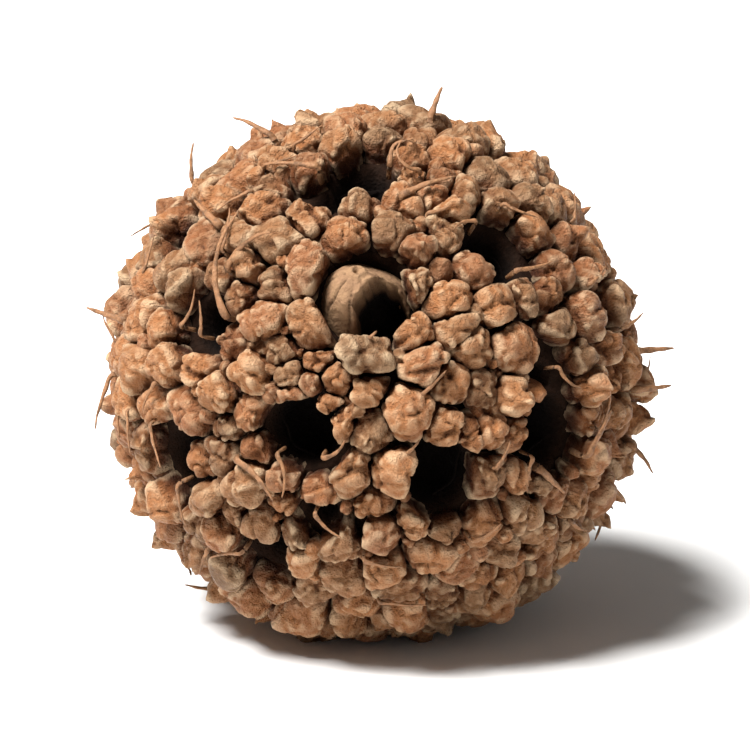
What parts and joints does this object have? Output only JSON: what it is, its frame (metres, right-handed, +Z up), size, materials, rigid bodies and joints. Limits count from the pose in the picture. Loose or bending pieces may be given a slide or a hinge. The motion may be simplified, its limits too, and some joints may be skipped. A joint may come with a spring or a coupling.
{
  "type": "sweetgum seed ball",
  "caption": "Dried sweetgum seed ball: a round woody head of fused capsules, cobbled with blunt nodules, with open pits and thin curved spines, resting on a small flat spot.",
  "frame": {"origin": "middle of the small flat spot that the ball rests on", "axes": "+Z up through the middle of the ball; -Y faces the viewer of the picture, +X to that viewer's right; the stalk stub points back and down"},
  "size_m": [0.0318, 0.0306, 0.0294],
  "materials": {
    "woody_head": "dry, matte, bark-like, with dark crevices and pits"
  },
  "bodies": {
    "root": {"seed_ball": "woody_head"}
  },
  "joints": []
}
